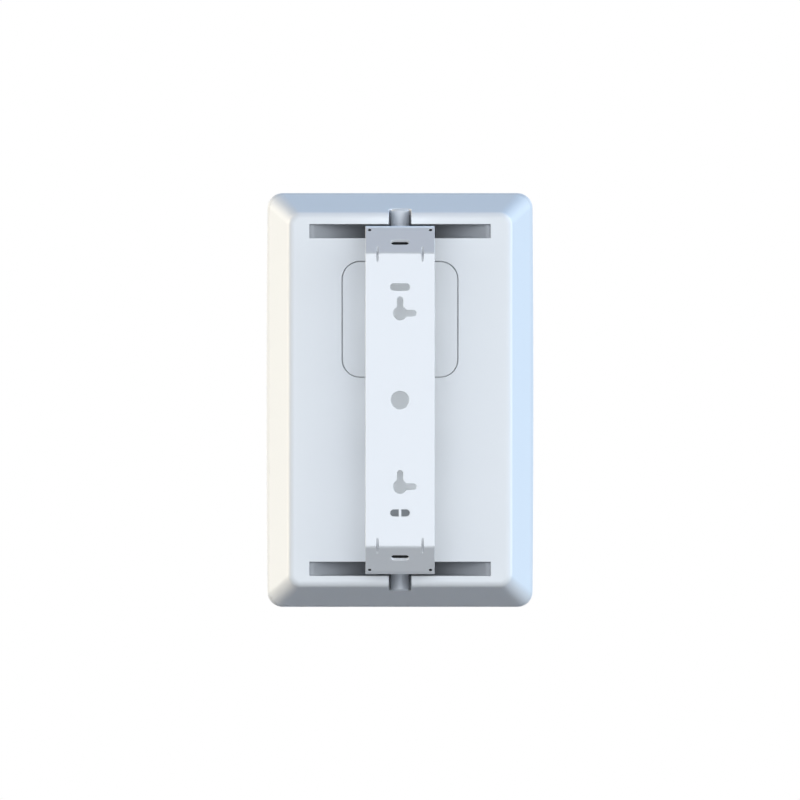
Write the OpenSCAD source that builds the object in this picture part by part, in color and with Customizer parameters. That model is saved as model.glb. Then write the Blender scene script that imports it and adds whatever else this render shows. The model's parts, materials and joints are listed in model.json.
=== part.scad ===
// On-wall two-way loudspeaker on a swivelling U bracket.
// Frame: +Z is up, +Y points to the wall, and the grille faces -Y.
// Origin: centre of the cable hole, on the bracket face that lies on the wall.
// Depths inside the cabinet are measured forwards from its flat back face.

/* [Cabinet] */
// Width across the front edge, at its corners
front_w = 195.4; // [192:0.2:198]
// Height of the front edge
front_h = 305.2; // [302:0.2:308]
// Width of the back face, to the sharp edge before rounding
back_w = 162.4; // [160:0.2:164]
// Height of the back face, to the sharp edge before rounding
back_h = 271.8; // [270:0.2:273]
// Depth from the back face to the top and bottom front edges
cab_d = 168; // [165:1:172]
// How far the front bulges between its top and bottom edges
crown = 8; // [6:0.5:9]
// Wall thickness of the moulded cabinet
wall = 3.5; // [3:0.1:4]
// Radius rolled round the edge of the back face
back_edge_r = 5.5; // [5:0.1:6]

/* [Bracket] */
// Width of the steel strip
br_w = 50; // [48:0.5:51]
// Thickness of the steel strip
br_t = 2.5; // [2:0.1:2.8]
// Clear space between the back plate and the cabinet
br_gap = 42; // [41:0.5:46]
// Height from the centre to the bend of the back plate
plate_h = 106.2; // [105:0.1:107]
// Height from the centre to the outer face of an arm
arm_z = 125.9; // [125.6:0.1:126]
// Diameter of the cable hole
cable_d = 12.9; // [12:0.1:14]
// Distance between the two keyholes
key_pitch = 125.2; // [124:0.2:127]
// Diameter of a keyhole's head opening
key_head_d = 9.8; // [9:0.1:10.4]
// Width of a keyhole's slots
key_slot_w = 4.2; // [3.8:0.1:4.6]

/* [Swivel] */
// Depth of the swivel axis below the cabinet's back face
pivot_d = 28; // [27.5:0.1:28.5]
// Diameter of the swivel bolt's head
bolt_head_d = 13.4; // [12.8:0.1:13.8]
// Diameter of the swivel bolt's shoulder
shoulder_d = 8; // [7.6:0.1:8.4]
// Radial play of an arm on its shoulder
play = 0.06; // [0.03:0.01:0.09]

/* [Drivers] */
// Height of the woofer's centre
woofer_z = -52; // [-53:0.5:-50]
// Height of the tweeter's centre
tweeter_z = 88; // [86:0.5:89]

/* [Terminal panel] */
// Side of the flush square cover
cover_w = 83.2; // [82:0.2:84]
// Gap round the cover
cover_gap = 0.6; // [0.5:0.1:0.8]
// Height of the cover's centre
cover_z = 58.5; // [57:0.5:60]

/* [Hidden] */
$fn = 96;
e = 0.02;
yb = -(br_t + br_gap);            // back face of the cabinet
yp = yb - pivot_d;                // swivel axis
slot_lo = 117.4;                  // inner wall of a groove
slot_hi = 127.4;                  // outer wall of a groove
slot_x = 65.6;                    // half length of a groove's mouth
pocket_r = 26.5;                  // groove floor round the swivel axis
notch_w = 16.3;                   // notch for the bolt head
seam_d = 154;                     // joint of the shell and the baffle
face_d = 162;                     // front face of the baffle
crown_r = (front_h * front_h / 4 + crown * crown) / (2 * crown);
port_x = 66;
port_z = 50;
baffle_screws = [for (x = [-1, 1], z = [-1, 1]) [x * 85, z * 139.5],
                 [-85, 22], [85, 22], [-40, 140.5], [40, 140.5]];

// Half width, half height and corner radius of the tapered body at a depth
function hw(d) = back_w / 2 + (front_w - back_w) / 2 * d / cab_d;
function hh(d) = back_h / 2 + (front_h - back_h) / 2 * d / cab_d;
function cr(d) = 9 + 2.1 * d / cab_d;

// ---- shared shapes ----

// Rounded rectangle about the origin
module rr(w, h, r) {
  square([w - 2 * r, h], center = true);
  square([w, h - 2 * r], center = true);
  for (x = [-1, 1], y = [-1, 1]) translate([x * (w / 2 - r), y * (h / 2 - r)]) circle(r);
}

// Slot with round ends along x, overall length l
module stadium(l, w) {
  square([l - w, w], center = true);
  for (x = [-1, 1]) translate([x * (l - w) / 2, 0]) circle(w / 2);
}

// A flat shape at depth d in the cabinet, t thick towards the front
module at_depth(d, t) translate([0, yb - d, 0]) rotate([90, 0, 0]) linear_extrude(t) children();

// Children drawn with their z axis pointing out of the front, from depth d
module facing(d, x, z) translate([x, yb - d, z]) rotate([90, 0, 0]) children();

// Tapered body between two depths, taken in by inset
module taper(d0, d1, inset) hull() {
  at_depth(d0, e) rr(2 * (hw(d0) - inset), 2 * (hh(d0) - inset), max(cr(d0) - inset, 2), $fn = 32);
  at_depth(d1 - e, e) rr(2 * (hw(d1) - inset), 2 * (hh(d1) - inset), max(cr(d1) - inset, 2), $fn = 32);
}

// Everything behind the bulging front surface, taken in by k
module crowned(k) translate([-150, yb - cab_d - crown + crown_r, 0]) rotate([0, 90, 0])
  cylinder(r = crown_r - k, h = 300, $fn = 240);

// Top half and its mirror image
module both_ends() { children(); mirror([0, 0, 1]) children(); }

// Bend of the strip, swept from angle a0 over sweep degrees about its centre
module bend(ro, ri, a0, sweep) intersection() {
  difference() { circle(ro); circle(ri); }
  polygon([[0, 0], [20 * cos(a0), 20 * sin(a0)],
           [20 * cos(a0 + sweep / 2), 20 * sin(a0 + sweep / 2)],
           [20 * cos(a0 + sweep), 20 * sin(a0 + sweep)]]);
}

// Tube along points, with n sides
function unit(v) = v / norm(v);
function ring_u(t) = abs(t[2]) > 0.9 ? unit(cross(t, [1, 0, 0])) : unit(cross(t, [0, 0, 1]));
function tangent(p, i) = let (n = len(p) - 1)
  i == 0 ? unit(p[1] - p[0]) : i == n ? unit(p[n] - p[n - 1]) : unit(unit(p[i + 1] - p[i]) + unit(p[i] - p[i - 1]));
function carried(p, i) = i == 0 ? ring_u(tangent(p, 0))
  : let (u = carried(p, i - 1), t = tangent(p, i)) unit(u - (u * t) * t);
module tube(p, r, n = 8) {
  k = len(p);
  pts = [for (i = [0 : k - 1]) let (t = tangent(p, i), u = carried(p, i), v = cross(t, u))
          for (j = [0 : n - 1]) p[i] + r * cos(360 * j / n) * u + r * sin(360 * j / n) * v];
  polyhedron(pts, concat(
    [[for (j = [n - 1 : -1 : 0]) j]],
    [for (i = [0 : k - 2], j = [0 : n - 1]) [i * n + j, i * n + (j + 1) % n, (i + 1) * n + (j + 1) % n, (i + 1) * n + j]],
    [[for (j = [0 : n - 1]) (k - 1) * n + j]]), convexity = 4);
}
// Rounds a route by cutting its corners twice
function cut_once(p) = [p[0], for (i = [0 : len(p) - 2]) each [p[i] * 0.75 + p[i + 1] * 0.25, p[i] * 0.25 + p[i + 1] * 0.75], p[len(p) - 1]];
function rounded(p) = cut_once(cut_once(p));

// Pan-head screw: head above z = 0, shank below
module screw(head_r, head_h, shank_r, length) {
  difference() {
    union() {
      cylinder(r = head_r, h = head_h - 0.6);
      translate([0, 0, head_h - 0.6]) cylinder(r1 = head_r, r2 = head_r - 0.6, h = 0.6);
    }
    for (a = [0, 90]) rotate(a) translate([-head_r * 0.55, -0.4, head_h - 1]) cube([head_r * 1.1, 0.8, 2]);
  }
  translate([0, 0, -length]) cylinder(r = shank_r, h = length);
}

// ---- bracket ----

// Half of the strip's side profile, drawn with x along y and y along z
module strip_profile() {
  s = sin(45);
  ro1 = br_t + 0.3; ri1 = 0.3;      // bend at the back plate
  ro2 = 8; ri2 = 8 - br_t;          // bend at the arm
  t1 = ro1 * tan(22.5);
  t2 = ro2 * tan(22.5);
  yk = -(arm_z - plate_h);          // where the sloping and arm faces would meet
  // back plate
  translate([-br_t, -e]) square([br_t, plate_h - t1 + e]);
  translate([-ro1, plate_h - t1]) bend(ro1, ri1, 0, 45);
  // sloping face, 45 degrees
  polygon([[-t1 * s, plate_h + t1 * s], [yk + t2 * s, arm_z - t2 * s],
           [yk + t2 * s - br_t * s, arm_z - t2 * s - br_t * s], [-t1 * s - br_t * s, plate_h + t1 * s - br_t * s]]);
  translate([yk - t2, arm_z - ro2]) bend(ro2, ri2, 45, 45);
  // arm
  translate([yp, arm_z - br_t]) square([yk - t2 - yp, br_t]);
}

// Pressed dart across the bend of the back plate: a = outer edge on the plate, b = on the slope
dart = 6.5;
dart_a = [0, plate_h - dart];
dart_b = [-dart * sin(45), plate_h + dart * sin(45)];
dart_n = [cos(22.5), sin(22.5)];
module dart_rib() translate([1.6, 0, 0]) rotate([0, -90, 0]) linear_extrude(3.2)
  polygon([for (p = [dart_a - 0.3 * dart_n, dart_b - 0.3 * dart_n, dart_b - 2.3 * dart_n, dart_a - 2.3 * dart_n]) [p[1], p[0]]]);
module dart_groove() translate([0.9, 0, 0]) rotate([0, -90, 0]) linear_extrude(1.8)
  polygon([for (p = [dart_a - 0.3 * dart_n + [0.001, 0], dart_b - 0.3 * dart_n, dart_b + 3 * dart_n, dart_a + 3 * dart_n]) [p[1], p[0]]]);

module through_plate(z, x = 0) translate([x, 5, z]) rotate([90, 0, 0]) linear_extrude(br_t + 6) children();
module through_slope(z) translate([0, plate_h - z, z]) rotate([45, 0, 0]) rotate([90, 0, 0])
  translate([0, 0, -6]) linear_extrude(12) children();

module keyhole() {
  circle(key_head_d / 2);
  translate([-key_slot_w / 2, 0]) square([key_slot_w, 11.8 - key_slot_w / 2]);
  translate([0, 11.8 - key_slot_w / 2]) circle(key_slot_w / 2);
  translate([-(11.8 - key_slot_w / 2), -key_slot_w / 2]) square([11.8 - key_slot_w / 2, key_slot_w]);
  translate([-(11.8 - key_slot_w / 2), 0]) circle(key_slot_w / 2);
}

module u_bracket() color([0.90, 0.92, 0.94]) difference() {
  union() {
    both_ends() {
      translate([br_w / 2, 0, 0]) rotate([90, 0, -90]) mirror([1, 0, 0]) linear_extrude(br_w) strip_profile();
      // round end of the arm about the swivel axis
      translate([0, yp, arm_z - br_t]) cylinder(r = br_w / 2, h = br_t);
      for (x = [-16.3, 16.3]) translate([x, 0, 0]) dart_rib();
    }
  }
  // swivel holes
  for (s = [-1, 1]) translate([0, yp, s * (arm_z - br_t / 2)]) cylinder(r = shoulder_d / 2 + play, h = 6, center = true);
  // back plate: cable hole, keyholes, level slot, tie holes
  through_plate(0) circle(cable_d / 2);
  for (z = [-key_pitch / 2, key_pitch / 2]) through_plate(z) keyhole();
  through_plate(81.5) stadium(14.1, 4.9);
  through_plate(-81.5) difference() { stadium(14.1, 4.9); square([2, 6], center = true); }
  both_ends() {
    // slot and corner holes in the sloping face
    through_slope(114) stadium(13.2, 4.9);
    for (x = [-22, 22]) translate([x, 0, 0]) through_slope(123) circle(1.2);
    for (x = [-16.3, 16.3]) translate([x, 0, 0]) dart_groove();
  }
}

// ---- cabinet ----

// Plan of a groove, x across and y = depth: a ledge at each end, 45 degree ramps, a round floor
module groove_plan(grow = 0) {
  k = pocket_r + grow;
  c = pivot_d + k * sqrt(2);
  polygon([[-slot_x - grow, -1], [slot_x + grow, -1], [slot_x + grow, 4 + grow], [c - 4 - grow, 4 + grow],
           [k * sin(45), pivot_d + k * cos(45)], [-k * sin(45), pivot_d + k * cos(45)],
           [-(c - 4 - grow), 4 + grow], [-slot_x - grow, 4 + grow]]);
  translate([0, pivot_d]) circle(k);
}
module groove_solid(z0, h, grow = 0) translate([0, yb, z0]) linear_extrude(h) mirror([0, 1, 0]) groove_plan(grow);

module shell_outside() hull() {
  for (x = [-1, 1], z = [-1, 1])
    translate([x * (hw(back_edge_r) - 9.55), yb - back_edge_r, z * (hh(back_edge_r) - 9.55)])
      rotate([90, 0, 0]) rotate_extrude($fn = 32) intersection() {
        translate([4, 0]) circle(back_edge_r, $fn = 32);
        translate([0, -10]) square([20, 20]);
      }
  at_depth(seam_d - e, e) rr(2 * hw(seam_d), 2 * hh(seam_d), cr(seam_d), $fn = 32);
}

module rear_shell() color([0.88, 0.90, 0.93]) difference() {
  union() {
    difference() {
      shell_outside();
      taper(wall, seam_d + 1, wall);
    }
    intersection() {
      union() {
        // housings round the grooves, and bosses that hold the swivel inserts
        both_ends() {
          groove_solid(slot_lo - 3, 40, 3);
          translate([0, yp, slot_lo - 15]) cylinder(r = 8.5, h = 13);
          // block behind the lock recess
          translate([-10.5, yb - 12, 107.7]) cube([21, 11, 8]);
        }
        // thick pad behind the terminal cover
        at_depth(1, 8.5) translate([0, cover_z]) rr(94, 94, 15);
        // boss for the safety insert
        facing(1, 0, -81.5) cylinder(r = 10.5, h = 15);
      }
      shell_outside();
    }
    // bosses for the baffle screws
    intersection() {
      union() for (p = baffle_screws) facing(118, p[0], p[1]) cylinder(r = 6.3, h = seam_d - 118);
      taper(100, seam_d, 1);
    }
  }
  both_ends() {
    groove_solid(slot_lo, slot_hi - slot_lo);
    // notch for the bolt head, open to the back
    translate([0, yp, slot_hi - 1]) cylinder(r = notch_w / 2, h = 40);
    translate([-notch_w / 2, yp, slot_hi - 1]) cube([notch_w, pivot_d + 1, 40]);
    // seat of the brass insert
    translate([0, yp, slot_lo - 13]) cylinder(r = 4.5, h = 14);
    // blind lock recess behind the slot of the sloping face
    translate([-8, yb - 9, 110.2]) cube([16, 10, 5]);
  }
  // recesses for the cover and the terminal cup
  at_depth(-1, 4.3) translate([0, cover_z]) rr(cover_w + 2 * cover_gap, cover_w + 2 * cover_gap, 12.6 + cover_gap);
  at_depth(1, 4.3) translate([0, cover_z]) rr(66.4, 56.4, 5.2);
  at_depth(1, 12) translate([0, cover_z]) rr(60.4, 50.4, 4.2);
  for (x = [-16, 16], z = [-1, 1]) facing(1, x, cover_z + z * 36) cylinder(r = 1.4, h = 7.5);
  // safety insert and its plug
  facing(-1, 0, -81.5) cylinder(r = 8.3, h = 5);
  facing(1, 0, -81.5) cylinder(r = 4.5, h = 13);
  // pilot holes
  for (p = baffle_screws) facing(125, p[0], p[1]) cylinder(r = 1.5, h = 30);
  for (x = [-48, 48], z = [-62, -14]) facing(1.5, x, z) cylinder(r = 1.2, h = 5);
}

module front_baffle() color([0.88, 0.90, 0.93]) difference() {
  union() {
    intersection() { taper(seam_d + 0.8, cab_d + crown + 1, 0); crowned(0); }
    // tongue inside the shell
    difference() { taper(seam_d - 4, seam_d + 2, wall + 0.3); taper(seam_d - 5, seam_d + 3, wall + 3);  }
  }
  taper(face_d, cab_d + crown + 4, 3.2);
  // the tongue stays clear of the screw bosses
  for (p = baffle_screws) facing(seam_d - 5, p[0], p[1]) cylinder(r = 6.8, h = 5.8);
  facing(100, 0, woofer_z) cylinder(r = 73, h = 80);
  facing(100, 0, tweeter_z) cylinder(r = 38, h = 80);
  for (x = [-port_x, port_x]) facing(100, x, port_z) cylinder(r = 17.1, h = 80);
  for (p = baffle_screws) facing(100, p[0], p[1]) cylinder(r = 2.2, h = 80);
  for (i = [0 : 5]) facing(seam_d + 1.4, 79 * cos(60 * i + 30), woofer_z + 79 * sin(60 * i + 30)) cylinder(r = 1.7, h = 20);
  for (a = [45 : 90 : 315]) facing(seam_d + 1.4, 45 * cos(a), tweeter_z + 45 * sin(a)) cylinder(r = 1.4, h = 20);
}

// Foam strip in the joint of the shell and the baffle
module baffle_gasket() color([0.16, 0.16, 0.17]) difference() {
  at_depth(seam_d, 0.8) difference() {
    rr(2 * hw(seam_d) - 1.6, 2 * hh(seam_d) - 1.6, cr(seam_d) - 0.8);
    rr(2 * (hw(seam_d) - wall) + 0.4, 2 * (hh(seam_d) - wall) + 0.4, cr(seam_d) - wall + 0.2);
  }
}

// Steel tray; its perforated field is plain sheet here
module grille() color([0.87, 0.89, 0.92]) difference() {
  intersection() { taper(face_d + 1, cab_d + crown + 1, 3.6); crowned(0.2); }
  intersection() { taper(face_d, cab_d + crown + 1, 4.8); crowned(1.4); }
}

module grille_cloth() color([0.07, 0.07, 0.08]) difference() {
  intersection() { taper(face_d + 4, cab_d + crown + 1, 5.1); crowned(1.45); }
  crowned(2.05);
}

// ---- swivel hardware ----

module pivot_bolt() color([0.62, 0.64, 0.68]) translate([0, yp, 0]) difference() {
  union() {
    translate([0, 0, arm_z + 0.1]) cylinder(r = bolt_head_d / 2, h = 11.6);
    translate([0, 0, arm_z + 11.7]) cylinder(r1 = bolt_head_d / 2, r2 = bolt_head_d / 2 - 1, h = 1);
    translate([0, 0, slot_lo + 0.05]) cylinder(r = shoulder_d / 2, h = arm_z + 0.1 - slot_lo - 0.05);
    translate([0, 0, slot_lo - 11]) cylinder(r = 2.97, h = 12);
  }
  translate([0, 0, arm_z + 6.7]) cylinder(r = 3.46, h = 7, $fn = 6);
}
module pivot_bolt_top() pivot_bolt();
module pivot_bolt_bottom() mirror([0, 0, 1]) pivot_bolt();

module pivot_spacer() color([0.14, 0.14, 0.15]) translate([0, yp, slot_lo]) difference() {
  cylinder(r = 10, h = arm_z - br_t - slot_lo - 0.1);
  translate([0, 0, -1]) cylinder(r = shoulder_d / 2 + 0.04, h = 12);
}
module pivot_spacer_top() pivot_spacer();
module pivot_spacer_bottom() mirror([0, 0, 1]) pivot_spacer();

module pivot_insert() color([0.80, 0.65, 0.30]) translate([0, yp, slot_lo - 12.5]) difference() {
  union() {
    cylinder(r = 4.46, h = 4);
    translate([0, 0, 4]) cylinder(r = 4.1, h = 1.5);
    translate([0, 0, 5.5]) cylinder(r = 4.46, h = 7);
  }
  translate([0, 0, -1]) cylinder(r = 3, h = 20);
}
module pivot_insert_top() pivot_insert();
module pivot_insert_bottom() mirror([0, 0, 1]) pivot_insert();

module safety_insert() color([0.80, 0.65, 0.30]) facing(4, 0, -81.5) difference() {
  cylinder(r = 4.46, h = 9.5);
  translate([0, 0, -1]) cylinder(r = 3, h = 12);
}
module safety_plug() color([0.20, 0.20, 0.22]) facing(0, 0, -81.5) {
  translate([0, 0, 0.6]) cylinder(r = 8, h = 3.2);
  translate([0, 0, 0.1]) cylinder(r1 = 7.4, r2 = 8, h = 0.5);
  translate([0, 0, 3.5]) cylinder(r = 2.9, h = 6);
}

// ---- terminal panel ----

module terminal_cover() color([0.88, 0.90, 0.93]) difference() {
  at_depth(0, 2.5) translate([0, cover_z]) rr(cover_w, cover_w, 12.6);
  for (x = [-16, 16], z = [-1, 1]) {
    facing(-1, x, cover_z + z * 36) cylinder(r = 3.3, h = 2.4);
    facing(-1, x, cover_z + z * 36) cylinder(r = 1.8, h = 6);
  }
  facing(-1, 0, 44) cylinder(r = 5, h = 6);
}
module cover_gasket() color([0.15, 0.15, 0.16]) at_depth(2.5, 0.8) translate([0, cover_z]) difference() {
  rr(80, 80, 11);
  rr(67.6, 57.6, 6);
  for (x = [-16, 16], z = [-36, 36]) translate([x, z]) circle(1.8);
}
module cover_screws() color([0.75, 0.76, 0.78]) for (x = [-16, 16], z = [-1, 1])
  translate([x, yb - 1.4, cover_z + z * 36]) rotate([-90, 0, 0]) screw(2.9, 1.5, 1.37, 6.4);
// Blind rubber grommet, cut through when the cable is fitted
module cable_grommet() color([0.12, 0.12, 0.13]) facing(0, 0, 44) difference() {
  union() {
    translate([0, 0, -1.6]) cylinder(r = 7, h = 1.5);
    translate([0, 0, -0.2]) cylinder(r = 4.9, h = 2.8);
    translate([0, 0, 2.55]) cylinder(r1 = 5.6, r2 = 4.9, h = 0.7);
  }
  translate([0, 0, -2]) cylinder(r = 3, h = 2.6);
  translate([0, 0, 1.2]) cylinder(r = 3, h = 3);
}
module terminal_cup() color([0.10, 0.10, 0.11]) difference() {
  union() {
    at_depth(3.35, 1.9) translate([0, cover_z]) rr(66, 56, 5);
    at_depth(4, 26) translate([0, cover_z]) rr(60, 50, 4);
  }
  at_depth(2, 25.8) translate([0, cover_z]) rr(56, 46, 2.5);
  for (x = [-14, 14]) facing(20, x, cover_z) cylinder(r = 2.1, h = 20);
}
module post(c) {
  color([0.82, 0.68, 0.32]) facing(27.8, 0, cover_z) {
    translate([0, 0, -1.2]) cylinder(r = 4.6, h = 1.2);
    translate([0, 0, -8]) cylinder(r = 2, h = 22);
    translate([0, 0, 2.25]) cylinder(r = 4, h = 2.2, $fn = 6);
  }
  color(c) facing(27.8, 0, cover_z) difference() {
    union() {
      translate([0, 0, -15]) cylinder(r = 5.6, h = 12);
      translate([0, 0, -3]) cylinder(r1 = 5.6, r2 = 4.4, h = 1.6);
    }
    translate([0, 0, -9.5]) cylinder(r = 1.9, h = 12);
    translate([0, 0, -16]) cylinder(r = 2, h = 5);
    for (a = [0 : 45 : 315]) rotate(a) translate([6.1, 0, -14]) cylinder(r = 0.9, h = 10);
  }
}
module terminal_post_red() translate([-14, 0, 0]) post([0.75, 0.08, 0.06]);
module terminal_post_black() translate([14, 0, 0]) post([0.06, 0.06, 0.07]);

// ---- woofer: profiles in radius and height above the baffle face ----

module woofer() facing(face_d, 0, woofer_z) children();
module woofer_basket() color([0.10, 0.10, 0.11]) woofer() difference() {
  rotate_extrude() polygon([[72.5, 0], [84, 0], [84, 2.5], [76, 2.5], [76, 0.8], [69, 0.8], [69, -12],
    [56, -31], [50, -31], [50, -33.5], [52, -33.5], [44, -46], [30, -46], [30, -48.5], [47.5, -48.5], [71.5, -13], [72.5, -11]]);
  for (a = [0 : 60 : 300]) rotate(a) translate([35, -15, -44]) cube([50, 30, 9]);
  for (a = [0 : 60 : 300]) rotate(a) translate([35, -17, -29]) cube([50, 34, 13]);
  for (i = [0 : 5]) rotate(60 * i + 30) translate([79, 0, -1]) cylinder(r = 2.1, h = 5);
}
module woofer_gasket() color([0.09, 0.09, 0.09]) woofer() rotate_extrude() translate([70.8, 1.3]) square([4.5, 1.8]);
module woofer_surround() color([0.07, 0.07, 0.07]) woofer() rotate_extrude() {
  translate([60.3, 0.8]) square([2.1, 0.5]);
  intersection() {
    difference() { translate([66.2, 0.8]) circle(4.2); translate([66.2, 0.8]) circle(3.7); }
    translate([60, 0.8]) square([14, 8]);
  }
  translate([70, 0.8]) square([5.6, 0.5]);
}
module woofer_cone() color([0.16, 0.16, 0.17]) woofer() rotate_extrude()
  polygon([[19.3, -24], [60, -0.1], [62.3, -0.1], [62.3, 0.8], [59.6, 0.8], [19.3, -22.8]]);
module woofer_dust_cap() color([0.12, 0.12, 0.13]) woofer() difference() {
  intersection() { translate([0, 0, -30]) sphere(26); translate([0, 0, -19.9]) cylinder(r = 30, h = 30); }
  translate([0, 0, -30]) sphere(25.4);
}
module woofer_spider() color([0.72, 0.58, 0.30]) woofer() rotate_extrude() {
  n = 5; r0 = 19.3; r1 = 50.5;
  polygon(concat(
    [for (i = [0 : 2 * n]) [r0 + (r1 - r0) * i / (2 * n), i == 0 || i == 2 * n ? -30.4 : -30.4 + (i % 2 == 0 ? -1.6 : 1.6)]],
    [[55, -30.4], [55, -30.95]],
    [for (i = [2 * n : -1 : 0]) [r0 + (r1 - r0) * i / (2 * n), i == 0 || i == 2 * n ? -30.95 : -30.95 + (i % 2 == 0 ? -1.6 : 1.6)]]));
}
module woofer_voice_coil() color([0.70, 0.40, 0.20]) woofer() rotate_extrude()
  polygon([[18.6, -56], [19.7, -56], [19.7, -46], [19.2, -46], [19.2, -22.9], [18.6, -22.9]]);
module woofer_top_plate() color([0.55, 0.56, 0.58]) woofer() rotate_extrude() translate([20.1, -54.5]) square([24.9, 6]);
module woofer_magnet() color([0.18, 0.18, 0.19]) woofer() rotate_extrude() translate([24, -72.5]) square([21, 18]);
module woofer_yoke() color([0.55, 0.56, 0.58]) woofer() rotate_extrude()
  polygon([[5, -78.5], [42, -78.5], [44, -77], [44, -72.5], [18.2, -72.5], [18.2, -48.5], [5, -48.5]]);
module woofer_screws() color([0.10, 0.10, 0.10]) woofer() for (i = [0 : 5]) rotate(60 * i + 30)
  translate([79, 0, 2.5]) screw(3.4, 2.1, 1.65, 8.5);

// ---- tweeter ----

module tweeter() facing(face_d, 0, tweeter_z) children();
module tweeter_waveguide() color([0.10, 0.10, 0.11]) tweeter() difference() {
  rotate_extrude() polygon([[37.6, 0], [50, 0], [50, 2], [49, 3], [43, 3], [34, 0.6], [26, -3.2], [18.5, -7.6], [13.4, -11],
    [13.4, -12], [37.6, -12]]);
  for (a = [45 : 90 : 315]) rotate(a) translate([45, 0, -1]) cylinder(r = 1.7, h = 6);
}
module tweeter_dome() color([0.13, 0.13, 0.15]) tweeter() union() {
  difference() {
    intersection() { translate([0, 0, -18.5]) sphere(14); translate([0, 0, -12.4]) cylinder(r = 20, h = 20); }
    translate([0, 0, -18.5]) sphere(13.6);
  }
  translate([0, 0, -12.4]) difference() { cylinder(r = 16.5, h = 0.38); translate([0, 0, -1]) cylinder(r = 12.4, h = 3); }
}
module tweeter_voice_coil() color([0.70, 0.40, 0.20]) tweeter() translate([0, 0, -19]) difference() {
  cylinder(r = 13, h = 6.6);
  translate([0, 0, -1]) cylinder(r = 12.5, h = 9);
}
module tweeter_top_plate() color([0.55, 0.56, 0.58]) tweeter() translate([0, 0, -15.5]) difference() {
  cylinder(r = 16.95, h = 3);
  translate([0, 0, -1]) cylinder(r = 13.4, h = 6);
}
module tweeter_magnet() color([0.62, 0.63, 0.66]) tweeter() translate([0, 0, -22]) cylinder(r = 12, h = 8.6);
module tweeter_yoke() color([0.55, 0.56, 0.58]) tweeter() rotate_extrude()
  polygon([[0, -26], [19, -26], [20, -25], [20, -12.5], [17, -12.5], [17, -22], [0, -22]]);
module tweeter_screws() color([0.10, 0.10, 0.10]) tweeter() for (a = [45 : 90 : 315]) rotate(a)
  translate([45, 0, 3]) screw(2.8, 1.8, 1.35, 9);

// ---- ports and baffle screws ----

module port_tube() color([0.09, 0.09, 0.10]) facing(face_d, 0, port_z) rotate_extrude()
  polygon([[20.5, 0], [20.5, 1.4], [20, 2], [18, 2], [16, 0.2], [15, -3], [15, -66], [16.2, -69], [18, -70.5], [18.8, -69.6],
    [17, -66.6], [17, 0]]);
module port_tube_left() translate([port_x, 0, 0]) port_tube();
module port_tube_right() translate([-port_x, 0, 0]) port_tube();
module baffle_screws() color([0.12, 0.12, 0.12]) for (p = baffle_screws) facing(face_d, p[0], p[1]) screw(3.8, 2.4, 1.47, 30);

// ---- crossover, on the inside of the back wall ----

module on_board(x, z) facing(11.1, x, z) children();
module crossover_board() color([0.10, 0.35, 0.18]) difference() {
  at_depth(9.5, 1.6) translate([0, -38]) rr(108, 60, 3);
  for (x = [-48, 48], z = [-62, -14]) facing(8, x, z) cylinder(r = 1.7, h = 6);
}
module board_spacers() color([0.85, 0.85, 0.80]) for (x = [-48, 48], z = [-62, -14]) facing(wall, x, z) difference() {
  cylinder(r = 3.5, h = 6);
  translate([0, 0, -1]) cylinder(r = 1.7, h = 9);
}
module board_screws() color([0.70, 0.70, 0.72]) for (x = [-48, 48], z = [-62, -14]) facing(11.1, x, z) screw(2.8, 1.8, 1.18, 9);
module woofer_inductor() color([0.72, 0.38, 0.18]) on_board(-26, -44) difference() {
  cylinder(r = 18, h = 16);
  translate([0, 0, -1]) cylinder(r = 8, h = 18);
}
module tweeter_inductor() color([0.72, 0.38, 0.18]) on_board(16, -28) difference() {
  cylinder(r = 12, h = 11);
  translate([0, 0, -1]) cylinder(r = 5.5, h = 13);
}
module large_capacitor() color([0.75, 0.72, 0.30]) translate([8, yb - 11.1 - 8, -56]) rotate([0, 90, 0]) cylinder(r = 8, h = 32);
module small_capacitor() color([0.75, 0.72, 0.30]) translate([34, yb - 11.1 - 5, -38]) rotate([0, 90, 0]) cylinder(r = 5, h = 16);
module power_resistor() color([0.85, 0.83, 0.78]) translate([32, yb - 11.1 - 7, -26]) cube([18, 7, 7]);

// ---- lining and leads ----

draft = atan((front_w - back_w) / 2 / cab_d);
module damping_pad(s) color([0.35, 0.36, 0.38]) translate([s * (hw(20) - wall - 0.4), yb - 20, 0]) rotate([0, 0, s * draft])
  translate([s > 0 ? -12 : 0, -70, -95]) cube([12, 70, 190]);
module damping_pad_left() damping_pad(1);
module damping_pad_right() damping_pad(-1);

function lead(p) = rounded([for (q = p) [q[0], yb - q[1], q[2]]]);
module input_leads() {
  color([0.75, 0.08, 0.06]) tube(lead([[-14, 42, 58.5], [-14, 46, 58], [-18, 50, 40], [-20, 40, 10], [-12, 24, -14], [-12, 16, -15], [-12, 11.3, -15]]), 1.1);
  color([0.06, 0.06, 0.07]) tube(lead([[14, 42, 58.5], [14, 46, 58], [8, 50, 40], [2, 40, 10], [-4, 24, -14], [-4, 16, -15], [-4, 11.3, -15]]), 1.1);
}
module woofer_leads() {
  color([0.75, 0.08, 0.06]) tube(lead([[-48.5, 11.3, -50], [-48.5, 18, -50], [-56, 50, -62], [-56, 90, -72], [-53, 112, -75], [-50.7, 122, -74.6]]), 1.1);
  color([0.06, 0.06, 0.07]) tube(lead([[-48.5, 11.3, -40], [-48.5, 18, -40], [-60, 50, -56], [-58, 90, -76], [-48, 112, -84], [-44.9, 122, -84.6]]), 1.1);
}
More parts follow.
